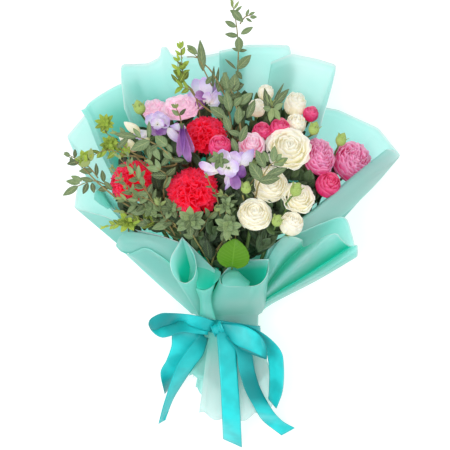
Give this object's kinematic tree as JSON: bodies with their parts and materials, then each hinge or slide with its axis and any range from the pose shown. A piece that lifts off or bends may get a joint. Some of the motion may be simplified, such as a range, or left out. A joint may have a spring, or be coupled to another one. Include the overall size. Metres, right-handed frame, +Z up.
{
  "type": "flower bouquet",
  "caption": "Hand-tied bouquet of mixed cut flowers and eucalyptus, wrapped in sheets of florist's film and tied with a satin ribbon bow, lying on its back.",
  "frame": {"origin": "on the surface that the bouquet lies on, under the middle of its bounding box", "axes": "+Z up, out of the bouquet's front face. +Y along the stems, towards the flowers. +X to the right when the bouquet is seen from above with its stems towards the viewer"},
  "size_m": [0.4348, 0.579, 0.18],
  "materials": {
    "carnation_red": "matt petals with fringed edges",
    "rose_white": "matt cream petals",
    "rose_pink": "matt deep pink petals",
    "rose_pale_pink": "matt pink petals",
    "lisianthus_pink": "matt pale pink petals",
    "freesia_lilac": "matt lilac petals",
    "eucalyptus_grey": "waxy grey-green leaves",
    "eucalyptus_young": "soft yellow-green young leaves",
    "stem_green": "satin dark green stems and leaves",
    "leaf_green": "satin bright green leaf",
    "film_mint": "matt translucent mint film",
    "ribbon_turquoise": "turquoise satin",
    "tie_string": "matt natural twine"
  },
  "bodies": {
    "root": {"carnation_back": "carnation_red", "carnation_front": "carnation_red", "carnation_left": "carnation_red", "eucalyptus_arch": "eucalyptus_grey", "eucalyptus_centre": "eucalyptus_grey", "eucalyptus_far_left": "eucalyptus_grey", "eucalyptus_low": "eucalyptus_grey", "eucalyptus_on_carnation": "eucalyptus_grey", "eucalyptus_on_freesia": "eucalyptus_grey", "eucalyptus_right": "eucalyptus_grey", "eucalyptus_star_left": "eucalyptus_grey", "eucalyptus_star_right": "eucalyptus_grey", "eucalyptus_tall": "eucalyptus_grey", "eucalyptus_top_right": "eucalyptus_grey", "eucalyptus_twig": "eucalyptus_grey", "film_back_centre": "film_mint", "film_back_left": "film_mint", "film_back_right": "film_mint", "film_front_centre": "film_mint", "film_front_left": "film_mint", "film_front_right": "film_mint", "film_roll": "film_mint", "film_side_left": "film_mint", "film_side_right": "film_mint", "freesia_centre": "freesia_lilac", "freesia_falling": "freesia_lilac", "freesia_left": "freesia_lilac", "freesia_top": "freesia_lilac", "lisianthus_pink": "lisianthus_pink", "lisianthus_side": "lisianthus_pink", "pink_bud_centre": "rose_pink", "pink_bud_right": "rose_pink", "pink_bud_top": "rose_pink", "pink_rose_left": "rose_pink", "pink_rose_low": "rose_pink", "pink_rose_outer": "rose_pink", "pink_rose_pale": "rose_pale_pink", "pink_rose_tall": "rose_pink", "ribbon_band": "ribbon_turquoise", "ribbon_bow": "ribbon_turquoise", "round_leaf": "leaf_green", "stem_bundle": "stem_green", "stem_tie": "tie_string", "white_bud_left": "rose_white", "white_bud_top": "rose_white", "white_rose_behind": "rose_white", "white_rose_front": "rose_white", "white_rose_low": "rose_white", "white_rose_middle": "rose_white", "white_rose_open": "rose_white", "white_rose_right": "rose_white", "white_rose_upper": "rose_white", "young_shoot_back": "eucalyptus_young", "young_shoot_left": "eucalyptus_young", "young_shoot_low": "eucalyptus_young"}
  },
  "joints": []
}
